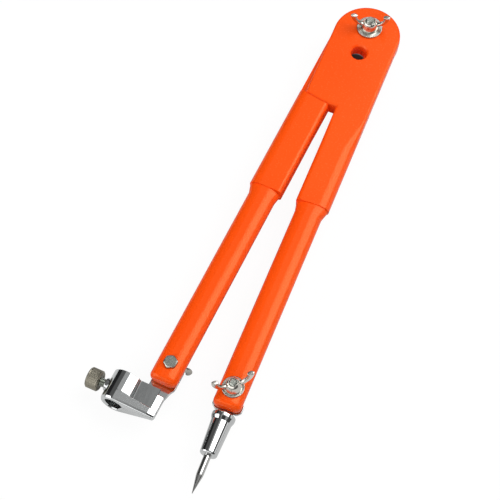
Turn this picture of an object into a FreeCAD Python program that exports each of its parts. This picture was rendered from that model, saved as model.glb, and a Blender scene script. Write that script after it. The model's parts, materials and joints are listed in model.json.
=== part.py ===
"""Two-leg carpenter's compass with a pencil clamp and a replaceable steel point.

The compass lies on its back with the legs a few degrees apart. Two identical plastic legs cross
at a half-lapped head. Each leg is a half-thickness plate at the head, then a full-thickness
sleeve beside the centre line, which ends in a ledge, then a short neck and an oval tube. A wing
nut on a bolt clamps the head, and one more at each foot clamps the pencil holder and the needle
holder.

While it is built, everything is measured from the pivot: x across, y towards the head, z up from
the lap plane. At the end the whole assembly is moved so that the origin is at the middle of the
underside of its bounding box. Millimetres throughout.
"""
import FreeCAD, Part
import math
import os

V = FreeCAD.Vector
X_AXIS, Y_AXIS, Z_AXIS = V(1, 0, 0), V(0, 1, 0), V(0, 0, 1)

# ---- Driving dimensions --------------------------------------------------------------------
OPENING_DEG = 4.0            # angle between the legs as modelled
HEAD_HALF = 19.8             # half the width of the head plate, and the sleeve's outer side
HEAD_DROP = 4.6              # centre of the rounded head end, below the pivot
HALF_THICK = 5.0             # half the thickness of the sleeve, and each lap plate
LAP_GAP = 0.1                # each plate's clearance from the lap plane
LAP_RADIUS = 58.7            # the plate ends on this arc about the pivot
LAP_CLEAR = 0.4              # radial gap between a plate and the other leg's shoulder
PLATE_EDGE = 1.3             # rounding of the plate's edges
SHOULDER_DEPTH = 15.3        # length that the shoulder is cut from, towards the pivot

INNER_X = 0.2                # inner face of the sleeve, from the leg's centre line
SLEEVE_START = 64.0          # where the sleeve's edges begin to soften, below the pivot
SLEEVE_SOFT = 84.0           # where they are fully soft
SLEEVE_END = 124.5
LEDGE = 0.3                  # the neck starts this far inside the sleeve's sides
LEDGE_HALF = 4.5             # half the neck's thickness there
LEDGE_CORNER = (7.6, 4.4)
NECK_END = 130.5
TUBE_X = 9.7                 # tube axis, from the leg's centre line
TUBE_HALF = 8.0              # half the width of the tube
TUBE_HALF_THICK = 4.8
LEG_END = 256.0
LEG_END_ROUND = 3.0
SHARP_CORNER = (1.3, 1.3)    # corners of a leg's section, as (width, height)
SLEEVE_OUT_CORNER = (6.0, 4.6)
SLEEVE_IN_CORNER = (2.4, 2.4)
TUBE_CORNER = (6.2, 4.5)

HOLE_DIST = 18.5             # hanging hole, below the pivot
HOLE_R = 4.7
HOLE_EDGE = 0.9

FOOT_BOLT_DIST = 245.0       # bolt of each foot holder, below the pivot
WASHER_SEAT_R = 6.4          # flat seat for a washer, on the plate's side of the tube
WASHER_SEAT_Z = 4.2
POCKET_Z = 3.5               # floor of the hex pocket on the other side, from the tube's middle
POCKET_CLEAR = 0.1           # gap between a bolt head's flat and the pocket

PIVOT_BOLT = {"radius": 2.5, "flats": 8.0, "head": 3.5}     # M5
FOOT_BOLT = {"radius": 2.0, "flats": 7.0, "head": 2.8}      # M4
HOLE_CLEAR = 0.08            # radial gap around a bolt in a leg or a holder
NUT_CLEAR = 0.06             # the same in a nut or a thumb screw
HEX_CHAMFER = 0.55           # height of the chamfer at the crown of a bolt head
CROWN_INSET = 0.3            # the crown's flat ring ends this far inside the flats
BOLT_TIP_CHAMFER = 0.5
PIVOT_THREAD_OUT = 1.6       # bolt end beyond its wing nut
FOOT_THREAD_OUT = 0.8
PIVOT_WASHER = {"radius": 7.5, "thick": 1.2}
FOOT_WASHER = {"radius": 6.1, "thick": 1.0}

NUT_BASE_R = 5.0             # wing nut
NUT_TOP_R = 3.5
NUT_HEIGHT = 6.0
WING_THICK = 1.8
WING_BULB = 2.0              # radius of the rounded tip
WING_ROOT = [(2.7, 4.2), (2.7, 0.5), (5.4, 0.5), (7.4, 3.2)]     # lower edge, (out, up)
WING_BEND = [(4.9, 6.4), (3.6, 4.8)]                             # upper edge, tip to boss
PIVOT_WING_TIP = (9.6, 10.4)     # centre of the tip, (out, up)
FOOT_WING_TIP = (9.9, 11.2)
PIVOT_NUT_TURN = 16.0        # wing direction from each leg's own x axis, degrees
NEEDLE_NUT_TURN = 38.0
PENCIL_NUT_TURN = 50.0
PENCIL_HEAD_TURN = 25.0      # hex head of the pencil bolt, in the same way

TONGUE_TOP = -4.85           # holder plates lie behind the tube
TONGUE_THICK = 1.7
TONGUE_HALF = 7.2
TONGUE_TAPER = 255.5         # where the pencil clamp's tongue starts to narrow
TONGUE_WAIST = (5.8, 257.5)  # a point of the narrowing edge: half-width and distance
TONGUE_FOOT = 263.4          # where it reaches the right edge of the clamp body

CLAMP_TOP = 257.5            # pencil clamp body, from and to, below the pivot
CLAMP_BOTTOM = 275.5
BARREL_X = -19.9             # pencil bore axis, from the tube axis
BARREL_Z = -8.5
BARREL_R = 8.0
PENCIL_R = 5.2
CLAMP_RIGHT = 4.3            # right edge of the clamp body
CLAMP_FACE_Z = -2.0          # its front face at the right edge; it falls there from the barrel's crest
CLAMP_EDGE_Z = -6.6          # underside at the right edge
CLAMP_EDGE_ROUND = 0.8       # rounding of that edge's front corner
RECESS_START = -17.4         # the pocket's left side slopes down from here
RECESS_END = (-12.8, -3.2)   # to this point (x, z), and then steps down to the floor
POCKET_LEFT = -11.8          # pocket that clears the end of the leg
POCKET_RIGHT = 0.4
POCKET_BOTTOM = 270.0
POCKET_FALL_START = 257.8     # the floor falls from here, below the pivot
POCKET_FALL = 2.0            # by this much at the pocket's bottom
RIM_START = 262.0            # the raised rim right of the pocket starts here
SCREW_DIST = 266.3           # thumb screw axis, below the pivot
BOSS_R = 3.7
BOSS_X = -29.1               # outer face of the boss
SCREW_TIP_X = -25.3
SCREW_HEAD_X = -32.0         # inner face of the knurled head
SCREW_HEAD_LEN = 7.4
SCREW_HEAD_R = 5.9
SCREW_R = 2.5
SCREW_IN_HEAD = 5.5          # how far the shank reaches into the head
SCREW_HEAD_CHAMFER = 0.8
SCREW_END_GAP = 0.3          # between the shank's end and the bottom of its hole in the head
BORE_CHAMFER = 0.6

HOLDER_X = 9.3               # axis of the needle holder, from the leg's centre line
HOLDER_TURN = 0.7            # the holder is turned this far about its bolt, degrees
SHOULDER_HALF = 8.5          # needle holder's shoulder
SHOULDER_TOP = 249.8
SHOULDER_END = 255.7
SHOULDER_FLARE = 2.5         # length over which the plate widens to the shoulder
SHOULDER_CUT = 2.0           # its lower corners are cut by this much
NEEDLE_TONGUE_HALF = 6.4
NEEDLE_Z = -6.4
COLLAR_R = 6.6
COLLAR_START = 257.2
COLLAR_END = 261.8
COLLAR_EDGE = 0.9
WEB_HALF = 5.0               # solid web between the plate and the collar
SOCKET_TOP_R = 5.9
SOCKET_END_R = 4.8
SOCKET_END = 281.8
SOCKET_ROUND = 1.2           # the socket's end is cut twice, to a round of this size
SOCKET_CUT = 0.3             # share of it that the second cut leaves
NEEDLE_R = 2.0
NEEDLE_STEM_R = 1.5          # the part of the needle that is pressed into the socket
NEEDLE_START = 266.0
NEEDLE_TAPER = 293.5
NEEDLE_TIP = 304.5
NEEDLE_TIP_R = 0.12
OVERLAP = 1.0                # how far a cutting or joining shape runs past a face


# ---- Helpers -------------------------------------------------------------------------------
def cylinder(radius, length, base, axis):
    """A cylinder from base along axis."""
    return Part.makeCylinder(radius, length, base, axis)


def box(x0, x1, y0, y1, z0, z1):
    """A box between two corners."""
    return Part.makeBox(x1 - x0, y1 - y0, z1 - z0, V(x0, y0, z0))


def arc(p1, p2, p3):
    """An arc through three points."""
    return Part.Arc(p1, p2, p3).toShape()


def prism(edges, direction):
    """Extrude a closed outline."""
    return Part.Face(Part.Wire(edges)).extrude(direction)


def polygon_prism(points, direction):
    """Extrude a closed polygon."""
    return Part.Face(Part.makePolygon(points + [points[0]])).extrude(direction)


def hexagon(flats, centre, height, turn):
    """A hexagonal prism with its first corner turned from +x."""
    points = []
    for step in range(6):
        angle = math.radians(turn + 60.0 * step)
        points.append(centre + V(math.cos(angle), math.sin(angle), 0) * (flats / math.sqrt(3)))
    return polygon_prism(points, V(0, 0, height))


def about_pivot(shape, degrees):
    """Turn a shape about the pivot."""
    shape.rotate(V(0, 0, 0), Z_AXIS, degrees)
    return shape


# ---- Legs ----------------------------------------------------------------------------------
def section(dist, x0, x1, half, corners):
    """A bar's section across y, as a wire of four lines and four corners.

    The corners are quarter ellipses, each given as (width, height): front outer, front inner,
    back inner and back outer. A quarter ellipse is a Bezier curve of three weighted poles.
    """
    y = -dist
    boxed = [V(x1, y, half), V(x0, y, half), V(x0, y, -half), V(x1, y, -half)]
    edges = []
    ends = []
    for index, (width, height) in enumerate(corners):
        pole = boxed[index]
        on_side = pole + V(0, 0, height if index > 1 else -height)
        on_face = pole + V(width if index in (1, 2) else -width, 0, 0)
        start, end = (on_side, on_face) if index in (0, 2) else (on_face, on_side)
        curve = Part.BezierCurve()
        curve.setPoles([start, pole, end])
        curve.setWeight(2, math.sqrt(0.5))
        edges.append(curve.toShape())
        ends.append((start, end))
    ring = []
    for index, (_, last) in enumerate(ends):
        ring.append(edges[index])
        ring.append(Part.makeLine(last, ends[(index + 1) % 4][0]))
    return Part.Wire(ring)


def leg():
    """One leg about the pivot: plate in front (z > 0), sleeve and tube on the +x side."""
    tube_x0, tube_x1 = TUBE_X - TUBE_HALF, TUBE_X + TUBE_HALF

    # the half-thickness plate
    side_y = -math.sqrt(LAP_RADIUS ** 2 - HEAD_HALF ** 2)
    lap_y = -math.sqrt(LAP_RADIUS ** 2 - (HEAD_HALF / 2) ** 2)
    z = LAP_GAP
    right, left = V(HEAD_HALF, -HEAD_DROP, z), V(-HEAD_HALF, -HEAD_DROP, z)
    lap_left = V(-HEAD_HALF, side_y, z)
    lap_inner = V(INNER_X, -math.sqrt(LAP_RADIUS ** 2 - INNER_X ** 2), z)
    inner_end, outer_end = V(INNER_X, -SLEEVE_START, z), V(HEAD_HALF, -SLEEVE_START, z)
    plate = prism([
        arc(right, V(0, HEAD_HALF - HEAD_DROP, z), left),
        Part.makeLine(left, lap_left),
        arc(lap_left, V(-HEAD_HALF / 2, lap_y, z), lap_inner),
        Part.makeLine(lap_inner, inner_end),
        Part.makeLine(inner_end, outer_end),
        Part.makeLine(outer_end, right),
    ], V(0, 0, HALF_THICK - LAP_GAP))
    rounded = []
    for edge in plate.Edges:
        bb = edge.BoundBox
        on_front = abs(bb.ZMin - HALF_THICK) < 1e-6 and abs(bb.ZMax - HALF_THICK) < 1e-6
        if on_front and abs(bb.YMax + SLEEVE_START) > 1e-6:
            rounded.append(edge)
    plate = plate.makeFillet(PLATE_EDGE, rounded)

    # the shoulder behind it, where the sleeve reaches full thickness
    def sleeve_section(dist, front_out, front_in):
        """The sleeve's section, whose front corners change along the leg."""
        corners = [front_out, front_in, SLEEVE_IN_CORNER, SLEEVE_OUT_CORNER]
        return section(dist, INNER_X, HEAD_HALF, HALF_THICK, corners)

    start = sleeve_section(SLEEVE_START, SHARP_CORNER, SHARP_CORNER)
    shoulder = Part.Face(start).extrude(V(0, SHOULDER_DEPTH, 0))
    shoulder = shoulder.common(box(0, HEAD_HALF, -SLEEVE_START, 0, -HALF_THICK, LAP_GAP))
    shoulder = shoulder.cut(cylinder(LAP_RADIUS + LAP_CLEAR, 2 * HALF_THICK, V(0, 0, -HALF_THICK), Z_AXIS))

    # sleeve, neck and tube
    soft = sleeve_section(SLEEVE_SOFT, SLEEVE_OUT_CORNER, SLEEVE_IN_CORNER)
    end = sleeve_section(SLEEVE_END, SLEEVE_OUT_CORNER, SLEEVE_IN_CORNER)
    sleeve = Part.makeLoft([start, soft, end], True, True)
    tube_corners = [TUBE_CORNER] * 4
    tube_start = section(NECK_END, tube_x0, tube_x1, TUBE_HALF_THICK, tube_corners)
    tube_end = section(LEG_END, tube_x0, tube_x1, TUBE_HALF_THICK, tube_corners)
    neck_start = section(SLEEVE_END, INNER_X + LEDGE, HEAD_HALF - LEDGE, LEDGE_HALF, [LEDGE_CORNER] * 4)
    neck = Part.makeLoft([neck_start, tube_start], True, True)
    tube = Part.makeLoft([tube_start, tube_end], True, True)
    end_edges = [edge for edge in tube.Edges if edge.BoundBox.YMax < -LEG_END + 1e-3]
    tube = tube.makeFillet(LEG_END_ROUND, end_edges)
    body = plate.fuse([shoulder, sleeve, neck, tube])

    # holes, the washer's seat and the pocket that keeps a bolt head from turning
    foot = V(TUBE_X, -FOOT_BOLT_DIST, 0)
    return body.cut([
        cylinder(HOLE_R, HALF_THICK, V(0, -HOLE_DIST, 0), Z_AXIS),
        Part.makeCone(HOLE_R, HOLE_R + 2 * HOLE_EDGE, 2 * HOLE_EDGE,
                      V(0, -HOLE_DIST, HALF_THICK - HOLE_EDGE), Z_AXIS),
        cylinder(PIVOT_BOLT["radius"] + HOLE_CLEAR, HALF_THICK, V(0, 0, 0), Z_AXIS),
        cylinder(FOOT_BOLT["radius"] + HOLE_CLEAR, 2 * HALF_THICK, foot - V(0, 0, HALF_THICK), Z_AXIS),
        cylinder(WASHER_SEAT_R, HALF_THICK, foot + V(0, 0, WASHER_SEAT_Z), Z_AXIS),
        hexagon(FOOT_BOLT["flats"] + 2 * POCKET_CLEAR, foot - V(0, 0, POCKET_Z), -HALF_THICK,
                -PENCIL_HEAD_TURN),
    ])


# ---- Fasteners -----------------------------------------------------------------------------
def washer(size, bolt, base, side):
    """A flat washer standing on base, to the front (side 1) or to the back (side -1)."""
    axis = V(0, 0, side)
    return cylinder(size["radius"], size["thick"], base, axis).cut(
        cylinder(bolt["radius"] + HOLE_CLEAR, size["thick"], base, axis))


def hex_bolt(size, seat, side, shank_length, turn=0.0):
    """A hex bolt whose head stands on seat, on the given side, and whose shank goes the other way."""
    up = V(0, 0, side)
    head = hexagon(size["flats"], seat, side * size["head"], turn)

    # the chamfer that takes the corners off the crown
    crown_r = size["flats"] / 2 - CROWN_INSET
    slope = (size["flats"] / math.sqrt(3) - crown_r) / HEX_CHAMFER
    head = head.common(Part.makeCone(crown_r + slope * size["head"], crown_r, size["head"], seat, up))

    straight = shank_length - BOLT_TIP_CHAMFER
    shank = cylinder(size["radius"], straight, seat, -up)
    tip = Part.makeCone(size["radius"], size["radius"] - BOLT_TIP_CHAMFER, BOLT_TIP_CHAMFER,
                        seat - up * straight, -up)
    return head.fuse([shank, tip]).removeSplitter()


def wing_nut(bolt, base, side, turn, tip):
    """A wing nut standing on base: a tapered boss and two steep wings with rounded tips."""
    boss = Part.makeCone(NUT_BASE_R, NUT_TOP_R, NUT_HEIGHT, V(0, 0, 0), Z_AXIS)
    solids = []
    for way in (1, -1):
        centre = V(way * tip[0], 0, tip[1])
        lower = [V(way * out, 0, up) for out, up in WING_ROOT]
        upper = [V(way * out, 0, up) for out, up in WING_BEND]
        rise = (centre - lower[-1]).normalize()
        across = V(rise.z, 0, -rise.x) * way * WING_BULB
        wing = polygon_prism(lower + [centre + across, centre - across] + upper, V(0, WING_THICK, 0))
        wing.translate(V(0, -WING_THICK / 2, 0))
        solids += [wing, Part.makeSphere(WING_BULB, centre)]
    nut = boss.fuse(solids).cut(
        cylinder(bolt["radius"] + NUT_CLEAR, NUT_HEIGHT * 3, V(0, 0, -NUT_HEIGHT), Z_AXIS))
    if side < 0:
        nut.rotate(V(0, 0, 0), X_AXIS, 180)
    nut.rotate(V(0, 0, 0), Z_AXIS, turn)
    nut.translate(base)
    return nut


# ---- Pencil clamp, about the back leg's tube axis --------------------------------------------
def pencil_clamp():
    """A die-cast clamp: tongue, pocketed web, and a barrel whose bore is along the leg."""
    length = CLAMP_BOTTOM - CLAMP_TOP
    centre = V(BARREL_X, -CLAMP_BOTTOM, BARREL_Z)

    # the underside is a plane from the right edge to the barrel, tangent to it
    dx, dz = CLAMP_RIGHT - BARREL_X, CLAMP_EDGE_Z - BARREL_Z
    touch = math.atan2(dz, dx) - math.acos(BARREL_R / math.hypot(dx, dz))
    tangent = centre + V(BARREL_R * math.cos(touch), 0, BARREL_R * math.sin(touch))
    web = polygon_prism([
        centre + V(0, 0, BARREL_R),
        V(CLAMP_RIGHT, -CLAMP_BOTTOM, CLAMP_FACE_Z),
        V(CLAMP_RIGHT, -CLAMP_BOTTOM, CLAMP_EDGE_Z),
        tangent,
        centre,
    ], V(0, length, 0))
    body = web.fuse(cylinder(BARREL_R, length, centre, Y_AXIS))

    # the pocket: a slope from the front face, a step, and the floor behind the end of the leg
    crest_z = BARREL_Z + BARREL_R
    fall = (CLAMP_FACE_Z - crest_z) / (CLAMP_RIGHT - BARREL_X)
    above = OVERLAP - CLAMP_TOP
    recess_end_x, recess_end_z = RECESS_END
    pocket = polygon_prism([
        V(RECESS_START, -POCKET_BOTTOM, crest_z + fall * (RECESS_START - BARREL_X)),
        V(recess_end_x, -POCKET_BOTTOM, recess_end_z),
        V(POCKET_LEFT, -POCKET_BOTTOM, TONGUE_TOP),
        V(POCKET_RIGHT, -POCKET_BOTTOM, TONGUE_TOP),
        V(POCKET_RIGHT, -POCKET_BOTTOM, HALF_THICK),
        V(RECESS_START, -POCKET_BOTTOM, HALF_THICK),
    ], V(0, POCKET_BOTTOM + above, 0))
    beside_rim = box(POCKET_RIGHT - OVERLAP, CLAMP_RIGHT + OVERLAP, -RIM_START, above, TONGUE_TOP, HALF_THICK)
    body = body.cut([pocket, beside_rim])
    front_corner = []
    for edge in body.Edges:
        bb = edge.BoundBox
        at_face = abs(bb.ZMin - CLAMP_FACE_Z) < 1e-6 and abs(bb.ZMax - CLAMP_FACE_Z) < 1e-6
        if at_face and abs(bb.XMin - CLAMP_RIGHT) < 1e-6:
            front_corner.append(edge)
    body = body.makeFillet(CLAMP_EDGE_ROUND, front_corner)

    low = TONGUE_TOP - TONGUE_THICK
    left_end = V(-TONGUE_HALF, -FOOT_BOLT_DIST, low)
    right_end = V(TONGUE_HALF, -FOOT_BOLT_DIST, low)
    crown = V(0, TONGUE_HALF - FOOT_BOLT_DIST, low)
    waist_x, waist_dist = TONGUE_WAIST
    corners = [
        left_end,
        V(-TONGUE_HALF, -TONGUE_FOOT, low),
        V(CLAMP_RIGHT, -TONGUE_FOOT, low),
        V(waist_x, -waist_dist, low),
        V(TONGUE_HALF, -TONGUE_TAPER, low),
        right_end,
    ]
    outline = [arc(right_end, crown, left_end)]
    for start, end in zip(corners, corners[1:]):
        outline.append(Part.makeLine(start, end))
    tongue = prism(outline, V(0, 0, TONGUE_THICK))

    floor_start = V(POCKET_LEFT, -POCKET_FALL_START, TONGUE_TOP)
    floor_end = V(POCKET_LEFT, -POCKET_BOTTOM, TONGUE_TOP)
    under_floor = polygon_prism([floor_start, floor_end - V(0, 0, POCKET_FALL), floor_end],
                                V(POCKET_RIGHT - POCKET_LEFT, 0, 0))

    boss_base = V(BOSS_X, -SCREW_DIST, BARREL_Z)
    boss = cylinder(BOSS_R, BARREL_X - BOSS_X - PENCIL_R, boss_base, X_AXIS)
    solid = body.fuse([tongue, boss]).removeSplitter().cut([
        under_floor,
        cylinder(PENCIL_R, length, centre, Y_AXIS),
        Part.makeCone(PENCIL_R + BORE_CHAMFER, PENCIL_R, BORE_CHAMFER, centre, Y_AXIS),
        cylinder(SCREW_R + NUT_CLEAR, BARREL_X - BOSS_X, boss_base, X_AXIS),
        cylinder(FOOT_BOLT["radius"] + HOLE_CLEAR, TONGUE_THICK, V(0, -FOOT_BOLT_DIST, low), Z_AXIS),
    ])
    solid.translate(V(-TUBE_X, 0, 0))
    return solid


def screw_shank():
    """The thumb screw's threaded shank, its tip just short of the wall of the pencil bore."""
    tip = V(SCREW_TIP_X - BOLT_TIP_CHAMFER - TUBE_X, -SCREW_DIST, BARREL_Z)
    length = SCREW_TIP_X - SCREW_HEAD_X + SCREW_IN_HEAD - BOLT_TIP_CHAMFER
    shank = cylinder(SCREW_R, length, tip, -X_AXIS)
    point = Part.makeCone(SCREW_R, SCREW_R - BOLT_TIP_CHAMFER, BOLT_TIP_CHAMFER, tip, X_AXIS)
    return shank.fuse(point).removeSplitter()


def screw_head():
    """The thumb screw's knurled head, with a blind hole for the shank."""
    face = V(SCREW_HEAD_X - TUBE_X, -SCREW_DIST, BARREL_Z)
    head = cylinder(SCREW_HEAD_R, SCREW_HEAD_LEN, face, -X_AXIS)
    ends = [edge for edge in head.Edges if edge.BoundBox.XLength < 1e-6]
    head = head.makeChamfer(SCREW_HEAD_CHAMFER, ends)
    return head.cut(cylinder(SCREW_R + NUT_CLEAR, SCREW_IN_HEAD + SCREW_END_GAP, face, -X_AXIS))


# ---- Needle holder, about its own axis --------------------------------------------------------
def needle_holder():
    """A plate behind the tube, widening to a shoulder, and a collar and socket for the needle."""
    low = TONGUE_TOP - TONGUE_THICK
    bolt_x = TUBE_X - HOLDER_X
    half = NEEDLE_TONGUE_HALF
    right_side = [
        (half, SHOULDER_TOP - SHOULDER_FLARE),
        (SHOULDER_HALF, SHOULDER_TOP),
        (SHOULDER_HALF, SHOULDER_END - SHOULDER_CUT),
        (SHOULDER_HALF - SHOULDER_CUT, SHOULDER_END),
    ]
    left_end = V(-half, -FOOT_BOLT_DIST, low)
    right_end = V(half, -FOOT_BOLT_DIST, low)
    corners = [right_end]
    corners += [V(x, -dist, low) for x, dist in right_side]
    corners += [V(-x, -dist, low) for x, dist in reversed(right_side)]
    corners.append(left_end)
    outline = [arc(left_end, V(0, half - FOOT_BOLT_DIST, low), right_end)]
    for start, end in zip(corners, corners[1:]):
        outline.append(Part.makeLine(start, end))
    plate = prism(outline, V(0, 0, TONGUE_THICK))
    web = box(-WEB_HALF, WEB_HALF, -COLLAR_START - OVERLAP, -SHOULDER_END + OVERLAP, low, TONGUE_TOP)

    profile = []
    for radius, dist in [
        (0, COLLAR_START),
        (COLLAR_R - COLLAR_EDGE, COLLAR_START),
        (COLLAR_R, COLLAR_START + COLLAR_EDGE),
        (COLLAR_R, COLLAR_END - COLLAR_EDGE),
        (SOCKET_TOP_R, COLLAR_END),
        (SOCKET_END_R, SOCKET_END - SOCKET_ROUND),
        (SOCKET_END_R - SOCKET_CUT * SOCKET_ROUND, SOCKET_END - SOCKET_CUT * SOCKET_ROUND),
        (SOCKET_END_R - SOCKET_ROUND, SOCKET_END),
        (0, SOCKET_END),
    ]:
        profile.append(V(radius, -dist, NEEDLE_Z))
    socket = Part.Face(Part.makePolygon(profile + [profile[0]]))
    socket = socket.revolve(V(0, 0, NEEDLE_Z), Y_AXIS, 360)

    solid = plate.fuse([web, socket]).removeSplitter().cut([
        cylinder(NEEDLE_STEM_R, SOCKET_END - NEEDLE_START, V(0, -SOCKET_END, NEEDLE_Z), Y_AXIS),
        cylinder(FOOT_BOLT["radius"] + HOLE_CLEAR, TONGUE_THICK, V(bolt_x, -FOOT_BOLT_DIST, low), Z_AXIS),
    ])
    solid.translate(V(HOLDER_X, 0, 0))
    return solid


def needle():
    """A steel point: a stem pressed into the socket, a plain shaft and a long cone."""
    stem = V(HOLDER_X, -NEEDLE_START, NEEDLE_Z)
    base = V(HOLDER_X, -SOCKET_END, NEEDLE_Z)
    taper = V(HOLDER_X, -NEEDLE_TAPER, NEEDLE_Z)
    return cylinder(NEEDLE_STEM_R, SOCKET_END - NEEDLE_START, stem, -Y_AXIS).fuse([
        cylinder(NEEDLE_R, NEEDLE_TAPER - SOCKET_END, base, -Y_AXIS),
        Part.makeCone(NEEDLE_R, NEEDLE_TIP_R, NEEDLE_TIP - NEEDLE_TAPER, taper, -Y_AXIS),
    ]).removeSplitter()


# ---- Assembly ------------------------------------------------------------------------------
def pivot_parts():
    """The bolt at the head, its head behind, and its two washers and wing nut."""
    stack = HALF_THICK + PIVOT_WASHER["thick"]
    shank = 2 * stack + NUT_HEIGHT + PIVOT_THREAD_OUT
    back_face, front_face = V(0, 0, -HALF_THICK), V(0, 0, HALF_THICK)
    return {
        "pivot_bolt": hex_bolt(PIVOT_BOLT, V(0, 0, -stack), -1, shank),
        "pivot_back_washer": washer(PIVOT_WASHER, PIVOT_BOLT, back_face, -1),
        "pivot_front_washer": washer(PIVOT_WASHER, PIVOT_BOLT, front_face, 1),
        "pivot_wing_nut": wing_nut(PIVOT_BOLT, V(0, 0, stack), 1, PIVOT_NUT_TURN, PIVOT_WING_TIP),
    }


def foot_parts():
    """What the two foot bolts hold, as (front leg's parts, back leg's parts)."""
    plate_back = TONGUE_TOP - TONGUE_THICK
    beyond = FOOT_WASHER["thick"] + NUT_HEIGHT + FOOT_THREAD_OUT
    step = V(0, 0, FOOT_WASHER["thick"])

    # needle: the bolt's head is behind the holder's plate, and its wing nut in front
    needle_seat = V(TUBE_X, -FOOT_BOLT_DIST, WASHER_SEAT_Z)
    needle_back = V(TUBE_X, -FOOT_BOLT_DIST, plate_back)
    front = {
        "needle_bolt": hex_bolt(FOOT_BOLT, needle_back, -1, WASHER_SEAT_Z - plate_back + beyond),
        "needle_washer": washer(FOOT_WASHER, FOOT_BOLT, needle_seat, 1),
        "needle_wing_nut": wing_nut(FOOT_BOLT, needle_seat + step, 1, NEEDLE_NUT_TURN, FOOT_WING_TIP),
        "needle_holder": needle_holder(),
        "needle": needle(),
    }
    for name in ("needle_holder", "needle"):
        front[name].rotate(needle_seat, Z_AXIS, HOLDER_TURN)

    # pencil: the bolt's head is in the pocket in front, and its wing nut behind the tongue
    pencil_front = V(-TUBE_X, -FOOT_BOLT_DIST, POCKET_Z)
    pencil_back = V(-TUBE_X, -FOOT_BOLT_DIST, plate_back)
    back = {
        "pencil_bolt": hex_bolt(FOOT_BOLT, pencil_front, 1, POCKET_Z - plate_back + beyond, PENCIL_HEAD_TURN),
        "pencil_washer": washer(FOOT_WASHER, FOOT_BOLT, pencil_back, -1),
        "pencil_wing_nut": wing_nut(FOOT_BOLT, pencil_back - step, -1, PENCIL_NUT_TURN, FOOT_WING_TIP),
        "pencil_clamp": pencil_clamp(),
        "thumb_screw_shank": screw_shank(),
        "thumb_screw_head": screw_head(),
    }
    return front, back


def assembly():
    """Every node in place, measured from the pivot."""
    back_leg = leg()
    back_leg.rotate(V(0, 0, 0), Y_AXIS, 180)
    front, back = foot_parts()
    front.update({"front_leg": leg()} | pivot_parts())
    back["back_leg"] = back_leg
    nodes = {}
    for name, shape in front.items():
        nodes[name] = about_pivot(shape, OPENING_DEG / 2)
    for name, shape in back.items():
        nodes[name] = about_pivot(shape, -OPENING_DEG / 2)
    return nodes


def extent(nodes):
    """The bounding box of all nodes, from their exact surfaces."""
    total = FreeCAD.BoundBox()
    for shape in nodes.values():
        total.add(shape.optimalBoundingBox(False))
    return total


def main():
    os.makedirs("parts", exist_ok=True)
    nodes = assembly()
    whole = extent(nodes)
    shift = V(-whole.Center.x, -whole.Center.y, -whole.ZMin)
    for name, shape in nodes.items():
        shape.translate(shift)
        shape.exportStep(f"parts/{name}.step")
        print(f"{name:20s} valid {shape.isValid()} solids {len(shape.Solids)} volume {shape.Volume:9.1f}")
    print(f"size {whole.XLength:.3f} x {whole.YLength:.3f} x {whole.ZLength:.3f}")
    print(f"pivot axis and lap plane at ({shift.x:.4f}, {shift.y:.4f}, {shift.z:.4f})")


main()
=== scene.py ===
"""A two-leg carpenter's compass lying on a pale studio floor.

The legs are the CAD nodes in glossy plastic. The bolts, washers, wing nuts, pencil clamp, thumb
screw, needle holder and needle are surfaces worked out here, in place of their CAD nodes. Their
sizes are millimetres in a frame at a bolt or at the thumb screw, and the scene is in metres.
"""
import json
import math

import bmesh
import bpy
import numpy as np
from mathutils import Matrix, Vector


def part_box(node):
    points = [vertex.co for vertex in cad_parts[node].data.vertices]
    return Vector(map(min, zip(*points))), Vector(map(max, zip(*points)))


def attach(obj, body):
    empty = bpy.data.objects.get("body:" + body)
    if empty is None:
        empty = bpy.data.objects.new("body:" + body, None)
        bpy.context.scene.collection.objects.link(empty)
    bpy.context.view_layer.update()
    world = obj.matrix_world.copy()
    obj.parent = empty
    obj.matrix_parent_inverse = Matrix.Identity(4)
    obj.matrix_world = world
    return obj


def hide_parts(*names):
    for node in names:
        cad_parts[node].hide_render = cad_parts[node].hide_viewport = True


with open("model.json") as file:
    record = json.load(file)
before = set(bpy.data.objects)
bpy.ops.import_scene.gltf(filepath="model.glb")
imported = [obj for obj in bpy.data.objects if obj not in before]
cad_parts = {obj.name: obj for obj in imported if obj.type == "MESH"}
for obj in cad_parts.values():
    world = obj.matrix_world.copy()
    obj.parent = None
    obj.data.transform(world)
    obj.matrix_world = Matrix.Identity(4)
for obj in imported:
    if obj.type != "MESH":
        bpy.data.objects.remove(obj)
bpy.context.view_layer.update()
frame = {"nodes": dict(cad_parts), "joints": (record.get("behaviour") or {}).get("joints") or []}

MM = 0.001
TAU = 2 * math.pi

# ---- Sizes, as in the CAD source (mm and degrees) --------------------------------------------
LEG_TURN = 2.0               # each leg is turned this far from the middle line
HOLDER_TURN = 0.7            # the needle holder's turn about its bolt
PIVOT_BOLT = {"radius": 2.5, "flats": 8.0, "head": 3.5, "pitch": 0.8}
FOOT_BOLT = {"radius": 2.0, "flats": 7.0, "head": 2.8, "pitch": 0.7}
HOLE_CLEAR = 0.08
NUT_CLEAR = 0.06
NUT_TURNS = {"pivot": 16.0, "needle": 38.0, "pencil": 50.0}
WING_TIPS = {"pivot": (9.6, 10.4), "needle": (9.9, 11.2), "pencil": (9.9, 11.2)}
WING_BREADTH = {"pivot": 1.1, "needle": 1.4, "pencil": 1.4}     # half, in the middle of a wing
PENCIL_HEAD_TURN = 25.0
TONGUE_TOP, TONGUE_THICK = -4.85, 1.7
SCREW_R, SCREW_HOLE, SCREW_PITCH = 2.5, 2.56, 0.8     # the thumb screw
SCREW_Y = -21.3              # its axis, from the pencil bolt


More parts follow.
